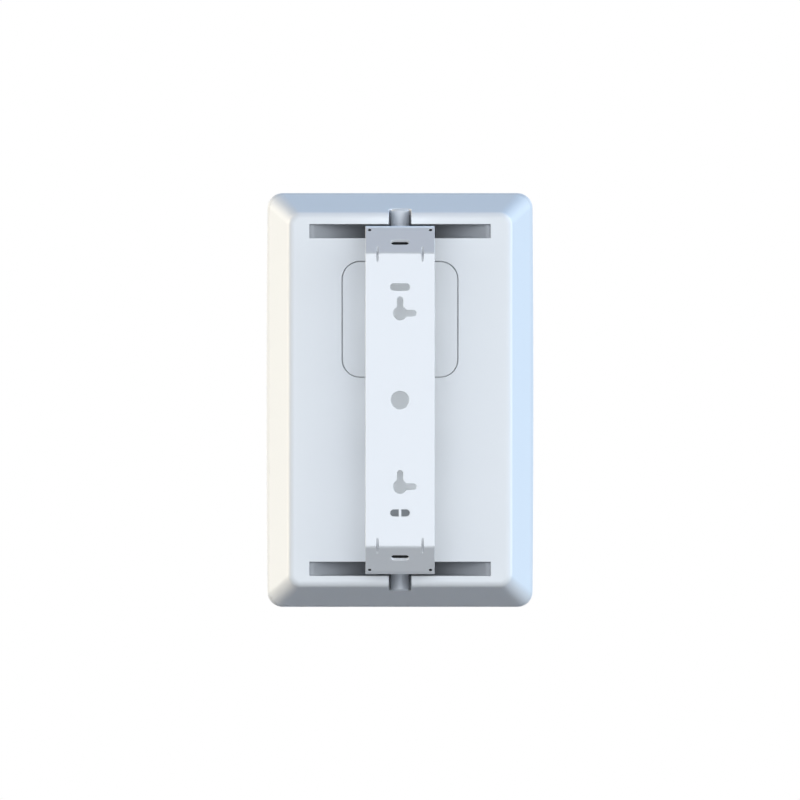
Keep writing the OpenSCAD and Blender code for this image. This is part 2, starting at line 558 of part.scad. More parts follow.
module tweeter_leads() {
  color([0.75, 0.08, 0.06]) tube(lead([[28, 11.3, -14], [28, 18, -14], [38, 50, 20], [30, 100, 60], [14, 124, 84], [10, 131, 86], [10, 135.7, 86]]), 1.1);
  color([0.06, 0.06, 0.07]) tube(lead([[36, 11.3, -14], [36, 18, -14], [46, 50, 24], [34, 100, 66], [16, 124, 90], [10, 131, 92], [10, 135.7, 92]]), 1.1);
}

u_bracket();
rear_shell();
front_baffle();
baffle_gasket();
grille();
grille_cloth();
pivot_bolt_top();
pivot_bolt_bottom();
pivot_spacer_top();
pivot_spacer_bottom();
pivot_insert_top();
pivot_insert_bottom();
safety_insert();
safety_plug();
terminal_cover();
cover_gasket();
cover_screws();
cable_grommet();
terminal_cup();
terminal_post_red();
terminal_post_black();
woofer_basket();
woofer_gasket();
woofer_surround();
woofer_cone();
woofer_dust_cap();
woofer_spider();
woofer_voice_coil();
woofer_top_plate();
woofer_magnet();
woofer_yoke();
woofer_screws();
tweeter_waveguide();
tweeter_dome();
tweeter_voice_coil();
tweeter_top_plate();
tweeter_magnet();
tweeter_yoke();
tweeter_screws();
port_tube_left();
port_tube_right();
baffle_screws();
crossover_board();
board_spacers();
board_screws();
woofer_inductor();
tweeter_inductor();
large_capacitor();
small_capacitor();
power_resistor();
damping_pad_left();
damping_pad_right();
input_leads();
woofer_leads();
tweeter_leads();
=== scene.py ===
import json
import math

import bmesh
import bpy
from mathutils import Matrix, Vector
from mathutils import geometry as mgeo


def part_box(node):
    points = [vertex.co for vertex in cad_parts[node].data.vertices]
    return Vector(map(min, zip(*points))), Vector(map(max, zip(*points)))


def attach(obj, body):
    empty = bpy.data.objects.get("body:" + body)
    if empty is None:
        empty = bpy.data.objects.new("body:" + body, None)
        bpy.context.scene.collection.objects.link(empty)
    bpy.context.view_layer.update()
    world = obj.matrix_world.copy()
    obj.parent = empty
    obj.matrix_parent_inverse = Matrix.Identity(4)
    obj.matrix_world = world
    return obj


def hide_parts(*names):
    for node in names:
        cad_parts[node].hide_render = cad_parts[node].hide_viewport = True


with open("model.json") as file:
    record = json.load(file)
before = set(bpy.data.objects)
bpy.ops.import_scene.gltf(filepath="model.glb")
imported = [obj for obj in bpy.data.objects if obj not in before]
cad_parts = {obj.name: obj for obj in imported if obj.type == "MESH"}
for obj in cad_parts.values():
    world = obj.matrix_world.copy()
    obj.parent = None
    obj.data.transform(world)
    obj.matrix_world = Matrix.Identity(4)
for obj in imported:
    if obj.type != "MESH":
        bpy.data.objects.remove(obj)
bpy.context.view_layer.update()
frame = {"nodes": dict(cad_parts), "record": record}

scene = bpy.context.scene
BODY = {}
for body_name, members in frame["record"]["behaviour"]["bodies"].items():
    for member in members:
        BODY[member] = body_name

# ---------------------------------------------------------------- dimensions, in mm
BR_T, BR_GAP, PIVOT_D = 2.5, 42.0, 28.0
YB = -(BR_T + BR_GAP)
YP = YB - PIVOT_D
CAB_D, CROWN = 168.0, 8.0
FRONT_W, FRONT_H, BACK_W, BACK_H = 195.4, 305.2, 162.4, 271.8
CROWN_R = (FRONT_H**2 / 4 + CROWN**2) / (2 * CROWN)
FACE_D = 162.0
WOOFER_Z, TWEETER_Z, COVER_Z = -52.0, 88.0, 58.5


def hw(d):
    return BACK_W / 2 + (FRONT_W - BACK_W) / 2 * d / CAB_D


def hh(d):
    return BACK_H / 2 + (FRONT_H - BACK_H) / 2 * d / CAB_D


def cr(d):
    return 9 + 2.1 * d / CAB_D


def front_depth(z, inset):
    """Depth of the bulging front surface at height z, taken in by inset."""
    return CAB_D + CROWN - CROWN_R + math.sqrt((CROWN_R - inset) ** 2 - z * z)


# ---------------------------------------------------------------- materials


def node_material(
    name,
    color,
    rough=0.45,
    metal=0.0,
    grain=900.0,
    grain_um=8.0,
    swell=90.0,
    swell_um=0.0,
    mottle=0.02,
    rough_var=0.05,
    spec=0.5,
    coat=0.0,
    coat_rough=0.1,
    sheen=0.0,
    extra=None,
):
    """A procedural surface: fine grain, slow swell, faint mottling of colour and gloss."""
    m = bpy.data.materials.new(name)
    m.use_nodes = True
    nt = m.node_tree
    n, l = nt.nodes, nt.links
    b = n["Principled BSDF"]
    b.inputs["Metallic"].default_value = metal
    b.inputs["Specular IOR Level"].default_value = spec
    b.inputs["Coat Weight"].default_value = coat
    b.inputs["Coat Roughness"].default_value = coat_rough
    b.inputs["Sheen Weight"].default_value = sheen
    tc = n.new("ShaderNodeTexCoord")
    fine = n.new("ShaderNodeTexNoise")
    fine.inputs["Scale"].default_value = grain
    fine.inputs["Detail"].default_value = 3.0
    fine.inputs["Roughness"].default_value = 0.6
    l.new(tc.outputs["Object"], fine.inputs["Vector"])
    slow = n.new("ShaderNodeTexNoise")
    slow.inputs["Scale"].default_value = swell
    slow.inputs["Detail"].default_value = 2.0
    l.new(tc.outputs["Object"], slow.inputs["Vector"])
    broad = n.new("ShaderNodeTexNoise")
    broad.inputs["Scale"].default_value = 14.0
    broad.inputs["Detail"].default_value = 5.0
    broad.inputs["Roughness"].default_value = 0.65
    l.new(tc.outputs["Object"], broad.inputs["Vector"])
    normal = None
    for tex, microns in ((slow, swell_um), (fine, grain_um)):
        if microns <= 0:
            continue
        bump = n.new("ShaderNodeBump")
        bump.inputs["Strength"].default_value = 1.0
        bump.inputs["Distance"].default_value = microns * 1e-6
        l.new(tex.outputs["Fac"], bump.inputs["Height"])
        if normal is not None:
            l.new(normal, bump.inputs["Normal"])
        normal = bump.outputs["Normal"]
    if extra is not None:
        normal = extra(nt, tc, normal)
    if normal is not None:
        l.new(normal, b.inputs["Normal"])
    mix = n.new("ShaderNodeMix")
    mix.data_type = "RGBA"
    lo = [max(0.0, c * (1 - mottle)) for c in color] + [1.0]
    hi = [min(1.0, c * (1 + mottle)) for c in color] + [1.0]
    mix.inputs["A"].default_value = lo
    mix.inputs["B"].default_value = hi
    l.new(broad.outputs["Fac"], mix.inputs["Factor"])
    l.new(mix.outputs["Result"], b.inputs["Base Color"])
    if rough_var == 0:
        b.inputs["Roughness"].default_value = rough
        return m
    span = n.new("ShaderNodeMapRange")
    span.inputs["From Min"].default_value = 0.1
    span.inputs["From Max"].default_value = 0.9
    span.inputs["To Min"].default_value = max(0.02, rough - rough_var)
    span.inputs["To Max"].default_value = min(1.0, rough + rough_var)
    l.new(broad.outputs["Fac"], span.inputs["Value"])
    l.new(span.outputs["Result"], b.inputs["Roughness"])
    return m


def weave(pitch_mm, depth_um):
    """Bump of a plain weave in the X-Z plane."""

    def build(nt, tc, normal):
        n, l = nt.nodes, nt.links
        sep = n.new("ShaderNodeSeparateXYZ")
        l.new(tc.outputs["Object"], sep.inputs["Vector"])
        waves = []
        for axis in ("X", "Z"):
            mul = n.new("ShaderNodeMath")
            mul.operation = "MULTIPLY"
            mul.inputs[1].default_value = 2 * math.pi / (pitch_mm / 1000)
            l.new(sep.outputs[axis], mul.inputs[0])
            sine = n.new("ShaderNodeMath")
            sine.operation = "SINE"
            l.new(mul.outputs["Value"], sine.inputs[0])
            waves.append(sine)
        both = n.new("ShaderNodeMath")
        both.operation = "MULTIPLY"
        l.new(waves[0].outputs["Value"], both.inputs[0])
        l.new(waves[1].outputs["Value"], both.inputs[1])
        bump = n.new("ShaderNodeBump")
        bump.inputs["Strength"].default_value = 1.0
        bump.inputs["Distance"].default_value = depth_um * 1e-6
        l.new(both.outputs["Value"], bump.inputs["Height"])
        if normal is not None:
            l.new(normal, bump.inputs["Normal"])
        return bump.outputs["Normal"]

    return build


def rings(axis_x, axis_z, along, pitch_mm, depth_um):
    """Turning or winding marks: bands along the Y or Z coordinate, reading as rings about that axis; axis_x and
    axis_z are not used.
    """

    def build(nt, tc, normal):
        n, l = nt.nodes, nt.links
        sep = n.new("ShaderNodeSeparateXYZ")
        l.new(tc.outputs["Object"], sep.inputs["Vector"])
        mul = n.new("ShaderNodeMath")
        mul.operation = "MULTIPLY"
        mul.inputs[1].default_value = 2 * math.pi / (pitch_mm / 1000)
        l.new(sep.outputs[along], mul.inputs[0])
        sine = n.new("ShaderNodeMath")
        sine.operation = "SINE"
        l.new(mul.outputs["Value"], sine.inputs[0])
        bump = n.new("ShaderNodeBump")
        bump.inputs["Strength"].default_value = 1.0
        bump.inputs["Distance"].default_value = depth_um * 1e-6
        l.new(sine.outputs["Value"], bump.inputs["Height"])
        if normal is not None:
            l.new(normal, bump.inputs["Normal"])
        return bump.outputs["Normal"]

    return build


M = {
    "shell": node_material("white_moulded_plastic", (0.788, 0.803, 0.818), 0.42, grain=1500, grain_um=5, swell=60, swell_um=4, mottle=0.010, rough_var=0.0),
    "cover": node_material("white_cover_plastic", (0.78, 0.795, 0.81), 0.45, grain=1500, grain_um=6, swell=60, swell_um=4, mottle=0.010, rough_var=0.0),
    "rim": node_material("white_baffle_plastic", (0.73, 0.745, 0.76), 0.42, grain=1500, grain_um=5, swell=60, swell_um=4, mottle=0.010, rough_var=0.0),
    "bracket": node_material("white_powder_coat", (0.635, 0.645, 0.66), 0.30, grain=1100, grain_um=4, swell=260, swell_um=4, mottle=0.010, rough_var=0.0, spec=1.0, coat=1.0, coat_rough=0.3),
    # painted shade: a grey that stands for the shade deep inside the arm grooves
    "groove": node_material("grey_painted_groove_shade", (0.41, 0.425, 0.45), 0.5, grain=1300, grain_um=10, mottle=0.02),
    "grille": node_material("white_grille_paint", (0.79, 0.80, 0.81), 0.40, grain=1300, grain_um=4, mottle=0.010, rough_var=0.0),
    "cloth": node_material("black_scrim", (0.012, 0.012, 0.013), 0.95, grain=2500, grain_um=20, mottle=0.2, spec=0.2, sheen=0.1, extra=weave(0.7, 60)),
    "foam": node_material("black_foam", (0.02, 0.02, 0.021), 0.95, grain=2600, grain_um=60, mottle=0.2, spec=0.2),
    "bolt": node_material("dull_zinc_coat", (0.60, 0.62, 0.65), 0.5, metal=0.12, grain=1600, grain_um=2, mottle=0.03, extra=rings(0, 0, "Z", 0.35, 1.2)),
    "acetal": node_material("black_acetal", (0.02, 0.02, 0.022), 0.42, grain=1200, grain_um=3, mottle=0.1),
    "brass": node_material("turned_brass", (0.66, 0.47, 0.19), 0.30, metal=1.0, grain=1800, grain_um=2, mottle=0.05),
    "plug": node_material("grey_plug_rubber", (0.31, 0.325, 0.345), 0.6, grain=1500, grain_um=8, mottle=0.05),
    "rubber": node_material("black_rubber", (0.018, 0.018, 0.019), 0.65, grain=1300, grain_um=8, mottle=0.15),
    # also painted shade: the black inside the lock recesses of the rear shell
    "black": node_material("black_moulded_plastic_and_recess_shade", (0.02, 0.02, 0.022), 0.45, grain=1300, grain_um=8, mottle=0.1),
    "red": node_material("red_moulded_plastic", (0.50, 0.02, 0.015), 0.35, grain=1200, grain_um=4, mottle=0.05),
    "basket": node_material("black_powder_coat", (0.018, 0.018, 0.02), 0.45, grain=1100, grain_um=7, mottle=0.1),
    "cone": node_material("dark_grey_cone", (0.035, 0.035, 0.038), 0.5, grain=700, grain_um=12, mottle=0.15),
    "spider": node_material("treated_cloth", (0.42, 0.29, 0.11), 0.85, grain=1500, grain_um=25, mottle=0.1, extra=weave(0.8, 50)),
    "copper": node_material("enamelled_copper", (0.70, 0.27, 0.10), 0.25, metal=1.0, grain=800, grain_um=2, mottle=0.08, extra=rings(0, 0, "Y", 0.6, 60)),
    "zinc": node_material("zinc_plate", (0.62, 0.62, 0.60), 0.32, metal=1.0, grain=1500, grain_um=2, mottle=0.05),
    "ferrite": node_material("sintered_ferrite", (0.05, 0.05, 0.055), 0.6, grain=1600, grain_um=14, mottle=0.2),
    "nickel": node_material("nickel_plate", (0.66, 0.65, 0.62), 0.18, metal=1.0, grain=900, grain_um=1, mottle=0.03),
    "silk": node_material("coated_silk", (0.03, 0.03, 0.036), 0.55, grain=2200, grain_um=12, mottle=0.1, sheen=0.3, extra=weave(0.4, 20)),
    # also used as painted shade on the walls of the bracket's small slope holes
    "oxide_and_hole_shade": node_material("black_oxide_and_hole_shade", (0.03, 0.03, 0.03), 0.42, metal=0.6, grain=1500, grain_um=3, mottle=0.15),
    "board": node_material("green_board", (0.02, 0.13, 0.05), 0.35, grain=1800, grain_um=4, mottle=0.15, extra=weave(0.9, 8)),
    "film": node_material("yellow_film", (0.60, 0.46, 0.07), 0.3, grain=500, grain_um=6, mottle=0.05),
    "ceramic": node_material("white_ceramic", (0.66, 0.64, 0.58), 0.7, grain=1500, grain_um=12, mottle=0.05),
    "wadding": node_material("grey_wadding", (0.34, 0.345, 0.36), 1.0, grain=420, grain_um=350, swell=60, swell_um=500, mottle=0.25, spec=0.1, sheen=0.4),
    "nylon": node_material("natural_nylon", (0.72, 0.71, 0.66), 0.45, grain=1200, grain_um=4, mottle=0.03),
    "wire_red": node_material("red_insulation", (0.48, 0.02, 0.015), 0.4, grain=1200, grain_um=4, mottle=0.05),
    "wire_black": node_material("black_insulation", (0.02, 0.02, 0.021), 0.4, grain=1200, grain_um=4, mottle=0.1),
}

# ---------------------------------------------------------------- making pieces


def finish_piece(me, name, node, body, mats, weighted=True, sharp=38.0):
    me.shade_smooth()
    if sharp is not None:
        me.set_sharp_from_angle(angle=math.radians(sharp))
    obj = bpy.data.objects.new(name, me)
    scene.collection.objects.link(obj)
    for m in mats:
        me.materials.append(m)
    if weighted:
        w = obj.modifiers.new("normals", "WEIGHTED_NORMAL")
        w.keep_sharp = True
        w.mode = "FACE_AREA"
        w.weight = 80
    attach(obj, body)
    if node:
        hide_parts(*([node] if isinstance(node, str) else node))
    return obj


def clean_copy(node, flat=0.6):
    """The CAD node's mesh with its coplanar triangles joined again."""
    bm = bmesh.new()
    bm.from_mesh(frame["nodes"][node].data)
    for layer in list(bm.loops.layers.uv):
        bm.loops.layers.uv.remove(layer)
    bmesh.ops.remove_doubles(bm, verts=bm.verts, dist=3e-6)
    bmesh.ops.dissolve_limit(
        bm,
        angle_limit=math.radians(flat),
        verts=bm.verts,
        edges=bm.edges,
        use_dissolve_boundaries=False,
        delimit=set(),
    )
    return bm


def bevel_sharp(bm, width_mm, segments=2, angle=38.0, choose=None):
    edges = []
    for e in bm.edges:
        if len(e.link_faces) != 2:
            continue
        if e.calc_face_angle(0.0) < math.radians(angle):
            continue
        if choose is not None and not choose(e):
            continue
        edges.append(e)
    if edges:
        bmesh.ops.bevel(
            bm,
            geom=edges,
            offset=width_mm / 1000,
            offset_type="OFFSET",
            segments=segments,
            profile=0.5,
            affect="EDGES",
            clamp_overlap=False,
        )


def refined(node, mat, bevel=0.0, segments=2, angle=38.0, choose=None, mats=None, paint=None, flat=0.6):
    bm = clean_copy(node, flat)
    if bevel > 0:
        bevel_sharp(bm, bevel, segments, angle, choose)
    if paint is not None:
        for f in bm.faces:
            f.material_index = paint(f)
    me = bpy.data.meshes.new(node + "_shape")
    bm.to_mesh(me)
    bm.free()
    return finish_piece(me, node + "_piece", node, BODY[node], mats or [M[mat]])


# ---------------------------------------------------------------- the outside of the cabinet and the bracket



def left_offsets(loop):
    """For each vertex of a loop, the step that moves both its edges one unit to the left."""
    out = []
    for i in range(len(loop)):
        a, b, c = (Vector(loop[k % len(loop)]) for k in (i - 1, i, i + 1))
        e1, e2 = (b - a).normalized(), (c - b).normalized()
        n1, n2 = Vector((-e1.y, e1.x)), Vector((-e2.y, e2.x))
        n = (n1 + n2).normalized()
        out.append(n / max(n.dot(n1), 0.5))
    return out


def arc(cx, cy, r, a0, a1, n):
    """Points from angle a0 to a1 in degrees about a centre, both ends included."""
    return [(cx + r * math.cos(math.radians(a0 + (a1 - a0) * k / n)), cy + r * math.sin(math.radians(a0 + (a1 - a0) * k / n))) for k in range(n + 1)]


def bracket():
    """The strip, drawn flat as (x, u) with u along its outer face, then folded."""
    plate_h, arm_z, w, t, edge = 106.2, 125.9, 25.0, BR_T, 0.35
    r1, r2 = 2.8, 8.0
    t1, t2 = r1 * math.tan(math.radians(22.5)), r2 * math.tan(math.radians(22.5))
    yk = -(arm_z - plate_h)
    u1 = plate_h - t1
    u2 = u1 + r1 * math.pi / 4
    u3 = u2 + math.hypot(yk, yk) - t1 - t2
    u4 = u3 + r2 * math.pi / 4
    u5 = u4 + (yk - t2) - YP
    h = math.sqrt(0.5)

    def fold(u):
        """Outer face at u: point (y, z) and normal (y, z)."""
        s, u = math.copysign(1.0, u), abs(u)
        if u <= u1:
            p, n = (0.0, u), (1.0, 0.0)
        elif u <= u2:
            a = (u - u1) / r1
            p, n = (-r1 + r1 * math.cos(a), u1 + r1 * math.sin(a)), (math.cos(a), math.sin(a))
        elif u <= u3:
            q = u - u2 + t1
            p, n = (-q * h, plate_h + q * h), (h, h)
        elif u <= u4:
            a = math.pi / 4 + (u - u3) / r2
            p, n = (yk - t2 + r2 * math.cos(a), arm_z - r2 + r2 * math.sin(a)), (math.cos(a), math.sin(a))
        else:
            p, n = (yk - t2 - (u - u4), arm_z), (0.0, 1.0)
        return Vector((p[0], s * p[1])), Vector((n[0], s * n[1]))

    bends = [u1 + (u2 - u1) * k / 8 for k in range(9)] + [u3 + (u4 - u3) * k / 12 for k in range(13)]
    steps = sorted(bends + [-b for b in bends])
    # outline, material on its left
    outline = [(w, s) for s in steps] + arc(0, u5, w, 0, 180, 48)
    outline += [(-w, s) for s in reversed(steps)] + arc(0, -u5, w, 180, 360, 48)
    loops = [outline]

    shade_painted_holes = set()

    # a hole can have the middle of its wall painted black, as painted shade that makes a small hole read dark
    def hole(points, shade_painted_wall=False):
        if shade_painted_wall:
            shade_painted_holes.add(len(loops))
        loops.append(list(reversed(points)))

    def slot(x, u, length, width, n=16):
        c = (length - width) / 2
        hole(arc(x + c, u, width / 2, -90, 90, n) + arc(x - c, u, width / 2, 90, 270, n))

    hole(arc(0, 0, 6.45, 0, 360 * 63 / 64, 63))
    for s in (-1, 1):
        k, b = s * 62.6, math.degrees(math.asin(2.1 / 4.9))
        hole(
            arc(0, k, 4.9, 180 + b, 450 - b, 36)
            + arc(0, k + 9.7, 2.1, 0, 180, 16)
            + arc(0, k, 4.9, 90 + b, 180 - b, 6)
            + arc(-9.7, k, 2.1, 90, 270, 16)
        )
        hole(arc(0, s * u5, 4.06, 0, 360 * 47 / 48, 47))
        slot(0, s * (u2 - t1 + (114.0 - plate_h) / h), 13.2, 4.9)
        # the two small holes on each slope get painted shade on their walls
        for x in (-22, 22):
            hole(arc(x, s * (u2 - t1 + (123.0 - plate_h) / h), 1.2, 0, 360 * 23 / 24, 23), shade_painted_wall=True)
    slot(0, 81.5, 14.1, 4.9)
    hole([(1.0, -81.5 - 2.45)] + arc(4.6, -81.5, 2.45, -90, 90, 16) + [(1.0, -81.5 + 2.45)])
    hole([(-1.0, -81.5 + 2.45)] + arc(-4.6, -81.5, 2.45, 90, 270, 16) + [(-1.0, -81.5 - 2.45)])

    # each loop as rows of (point, leftward step); the face stops short of the rounded edge
    lines = {s: [] for s in steps}
    table, pts, edges = [], [], []
    for loop in loops:
        rows = [(Vector(p), n) for p, n in zip(loop, left_offsets(loop))]
        full = []
        for i, (p, n) in enumerate(rows):
            q, m = rows[(i + 1) % len(rows)]
            a, b = p + n * edge, q + m * edge
            full.append((p, n))
            lo, hi = min(a.y, b.y), max(a.y, b.y)
            cuts = [(s - a.y) / (b.y - a.y) for s in steps if lo + 1e-4 < s < hi - 1e-4]
            for c in sorted(cuts):
                full.append((p.lerp(q, c), n.lerp(m, c)))
        first = len(pts)
        for p, n in full:
            f = p + n * edge
            for s in steps:
                if abs(f.y - s) < 2e-4:
                    f = Vector((f.x, s))
                    lines[s].append((f.x, len(pts)))
            pts.append(f)
        count = len(full)
        edges += [(first + k, first + (k + 1) % count) for k in range(count)]
        table.append((first, full))
    for s, hits in lines.items():
        hits.sort()
        for (_, a), (_, b) in zip(hits[0::2], hits[1::2]):
            edges.append((a, b))
    rim_count = len(pts)
    # finer points where the darts are pressed
    dart, ua, ub = 6.5, plate_h - 6.5, u2 - t1 + 6.5
    for side in (-1, 1):
        for s in (-1, 1):
            rows_u = [ua - 1.2 + (ub - ua + 2.4) * k / 30 for k in range(31)]
            rows_u = [u for u in rows_u if min(abs(u - b) for b in bends) > 0.16] + bends[:9]
            for u in rows_u:
                for k in range(-9, 10):
                    pts.append(Vector((side * 16.3 + k * 0.24, s * u)))
    vout, _, fout, vorig, _, _ = mgeo.delaunay_2d_cdt(pts, edges, [], 1, 1e-5, True)
    origin = {}
    index = {}
    for i, group in enumerate(vorig):
        for k in group:
            index[k] = i
            if k < rim_count:
                origin[i] = k
    ring_of = {}
    for which, (first, full) in enumerate(table):
        for k in range(len(full)):
            ring_of[first + k] = which
    faces = []
    for f in fout:
        ids = {ring_of.get(origin.get(i, -1), -1) for i in f}
        if len(ids) == 1 and ids.isdisjoint({-1, 0}):
            which = ids.pop()
            first, full = table[which]
            # inside a hole the triangle winds against the hole's own order
            mid = sum((vout[i] for i in f), Vector((0, 0))) / 3
            inside = False
            loop = [p + n * edge for p, n in full]
            for a, b in zip(loop, loop[1:] + loop[:1]):
                if (a.y > mid.y) != (b.y > mid.y) and mid.x < (b.x - a.x) * (mid.y - a.y) / (b.y - a.y) + a.x:
                    inside = not inside
            if inside:
                continue
        faces.append(f)

    a_pt, b_pt, n_dart = Vector((0, ua)), Vector((-dart * h, plate_h + dart * h)), Vector((math.cos(math.pi / 8), math.sin(math.pi / 8)))

    def pressed(x, u, depth):
        """How far a dart pushes the face in, along its own normal."""
        across = min(abs(x - 16.3), abs(x + 16.3))
        reach, flat, sink = (0.95, 0.15, 0.1) if depth == 0 else (2.1, 1.1, 2.3)
        if across > reach or not ua - 1.0 < abs(u) < ub + 1.0:
            return 0.0
        p, n = fold(abs(u))
        drop = (p - n * depth - a_pt).dot(n_dart) + sink * min(1.0, max(0.0, (abs(u) - ua) / 0.8), max(0.0, (ub - abs(u)) / 0.8))
        if drop <= 0:
            return 0.0
        k = 1.0 if across < flat else 0.5 + 0.5 * math.cos(math.pi * (across - flat) / (reach - flat))
        return drop * k

    bm = bmesh.new()

    def place(x, u, depth, dart_on=False):
        p, n = fold(u)
        p = p - n * depth
        if dart_on:
            k = pressed(x, u, 0 if depth == 0 else t)
            if k:
                p = p - Vector((n_dart.x, math.copysign(n_dart.y, u))) * k
        return bm.verts.new((x / 1000, p.x / 1000, p.y / 1000))

    outer = [place(v.x, v.y, 0.0, True) for v in vout]
    inner = [place(v.x, v.y, t, True) for v in vout]
    for f in faces:
        bm.faces.new([outer[i] for i in f])
        bm.faces.new([inner[i] for i in reversed(f)])
    for which, (first, full) in enumerate(table):
        count = len(full)
        rounds = [[outer[index[first + k]] for k in range(count)]]
        for s in (1, 2, 3):
            a = math.radians(30 * s)
            rounds.append([place(*(p + n * edge * (1 - math.sin(a))), edge * (1 - math.cos(a))) for p, n in full])
        for s in (3, 2, 1):
            a = math.radians(30 * s)
            rounds.append([place(*(p + n * edge * (1 - math.sin(a))), t - edge * (1 - math.cos(a))) for p, n in full])
        rounds.append([inner[index[first + k]] for k in range(count)])
        for row, (a, b) in enumerate(zip(rounds, rounds[1:])):
            for k in range(count):
                m = (k + 1) % count
                wall_face = bm.faces.new([a[k], b[k], b[m], a[m]])
                # painted shade: the middle rows of these hole walls take the black second material
                if which in shade_painted_holes and 2 <= row <= 4:
                    wall_face.material_index = 1
    bmesh.ops.recalc_face_normals(bm, faces=bm.faces)
    me = bpy.data.meshes.new("u_bracket_shape")
    bm.to_mesh(me)
    open_edges = sum(1 for e in bm.edges if len(e.link_faces) != 2)
    bm.free()
    print("bracket:", len(me.polygons), "faces,", open_edges, "open edges")
    # the second material is black oxide used as painted shade on the small hole walls
    return finish_piece(me, "u_bracket_piece", "u_bracket", "bracket", [M["bracket"], M["oxide_and_hole_shade"]], sharp=50)


bracket()


def shell_paint(f):
    """The arm grooves are painted grey inside and the lock recesses black, as painted shade for these deep recesses;
    everything else is white.
    """
    c = f.calc_center_median() * 1000
    depth = YB - c.y
    # painted shade: faces inside the arm grooves take the grey
    if 117.3 < abs(c.z) < 127.5 and abs(c.x) < 65.7 and depth > 0.7:
        return 1
    # painted shade: faces inside the lock recesses take the black
    if 110.1 < abs(c.z) < 115.3 and abs(c.x) < 8.1 and 0.7 < depth < 9.1:
        return 2
    return 0


# the second and third materials are painted shade for the arm grooves and the lock recesses
refined("rear_shell", "shell", bevel=0.55, segments=3, angle=50, mats=[M["shell"], M["groove"], M["black"]], paint=shell_paint)
refined("front_baffle", "rim", bevel=0.5, segments=2, angle=50)
refined("terminal_cover", "cover", bevel=0.35, segments=2)
refined("pivot_bolt_top", "bolt", bevel=0.25, segments=2)
refined("pivot_bolt_bottom", "bolt", bevel=0.25, segments=2)
refined("pivot_spacer_top", "acetal", bevel=0.3)
refined("pivot_spacer_bottom", "acetal", bevel=0.3)
refined("safety_plug", "plug", bevel=0.2)
refined("cable_grommet", "rubber", bevel=0.2)

# ---------------------------------------------------------------- small and inner pieces

for node, mat, bevel in (
    ("baffle_gasket", "foam", 0.0),
    ("cover_gasket", "foam", 0.0),
    ("pivot_insert_top", "brass", 0.15),
    ("pivot_insert_bottom", "brass", 0.15),
    ("safety_insert", "brass", 0.15),
    ("cover_screws", "zinc", 0.08),
    ("terminal_cup", "black", 0.3),
    ("woofer_basket", "basket", 0.3),
    ("woofer_gasket", "rubber", 0.2),
    ("woofer_surround", "rubber", 0.0),
    ("woofer_cone", "cone", 0.0),
    ("woofer_dust_cap", "cone", 0.0),
    ("woofer_spider", "spider", 0.0),
    ("woofer_voice_coil", "copper", 0.0),
    ("woofer_top_plate", "zinc", 0.4),
    ("woofer_magnet", "ferrite", 0.6),
    ("woofer_yoke", "zinc", 0.4),
    ("woofer_screws", "oxide_and_hole_shade", 0.08),
    ("tweeter_waveguide", "black", 0.2),
    ("tweeter_dome", "silk", 0.0),
    ("tweeter_voice_coil", "copper", 0.0),
    ("tweeter_top_plate", "zinc", 0.2),
    ("tweeter_magnet", "nickel", 0.3),
    ("tweeter_yoke", "zinc", 0.3),
    ("tweeter_screws", "oxide_and_hole_shade", 0.08),
    ("port_tube_left", "black", 0.0),
    ("port_tube_right", "black", 0.0),
    ("baffle_screws", "oxide_and_hole_shade", 0.08),
    ("crossover_board", "board", 0.1),
    ("board_spacers", "nylon", 0.1),
    ("board_screws", "zinc", 0.08),
    ("woofer_inductor", "copper", 0.6),
    ("tweeter_inductor", "copper", 0.5),
    ("large_capacitor", "film", 0.6),
    ("small_capacitor", "film", 0.4),
    ("power_resistor", "ceramic", 0.4),
):
    refined(node, mat, bevel=bevel, segments=2)


def post_paint(x0):
    def paint(f):
        c = f.calc_center_median() * 1000
        depth = YB - c.y
        r = math.hypot(c.x - x0, c.z - COVER_Z)
        return 0 if depth < 26.45 and r > 2.6 else 1

    return paint


refined("terminal_post_red", "red", bevel=0.15, mats=[M["red"], M["brass"]], paint=post_paint(-14))
refined("terminal_post_black", "black", bevel=0.15, mats=[M["black"], M["brass"]], paint=post_paint(14))


def lead_piece(node):
    """Both wires of a pair; the first solid is red and the second black."""
    bm = clean_copy(node, 0.05)
    left = set(bm.faces)
    islands = []
    while left:
        seed = left.pop()
        group, stack = [seed], [seed]
        while stack:
            f = stack.pop()
            for e in f.edges:
                for g in e.link_faces:
                    if g in left:
                        left.discard(g)
                        group.append(g)
                        stack.append(g)
        islands.append(group)
    islands.sort(key=lambda g: min(f.calc_center_median().x for f in g))
    for i, group in enumerate(islands):
        for f in group:
            f.material_index = min(i, 1)
    me = bpy.data.meshes.new(node + "_shape")
    bm.to_mesh(me)
    bm.free()
    finish_piece(me, node + "_piece", node, BODY[node], [M["wire_red"], M["wire_black"]], sharp=60)


for lead in ("input_leads", "woofer_leads", "tweeter_leads"):
    lead_piece(lead)

# ---------------------------------------------------------------- perforated grille


